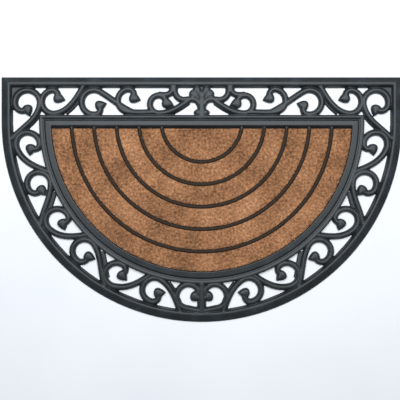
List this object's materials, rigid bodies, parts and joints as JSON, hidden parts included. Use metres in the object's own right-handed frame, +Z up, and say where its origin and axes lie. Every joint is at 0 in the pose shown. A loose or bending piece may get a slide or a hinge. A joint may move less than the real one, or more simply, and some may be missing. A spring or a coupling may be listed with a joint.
{
  "type": "half-round coir doormat",
  "caption": "Half-round doormat: a moulded black rubber frame with an openwork scroll border, a stepped inner frame and concentric arcs of coir pile between raised ribs.",
  "frame": {"origin": "on the underside, in the middle of the bounding box", "axes": "+X along the long straight edge, +Y towards the straight edge, +Z up out of the pile"},
  "size_m": [0.9144, 0.5588, 0.0126],
  "materials": {
    "rubber": "moulded, matte with a faint sheen on the raised edges",
    "coir": "cut natural fibre pile, speckled"
  },
  "bodies": {
    "root": {"rubber_frame": "rubber", "coir_half_disc": "coir", "coir_band_1": "coir", "coir_band_2": "coir", "coir_band_3": "coir", "coir_band_4": "coir", "coir_band_5": "coir"}
  },
  "joints": []
}
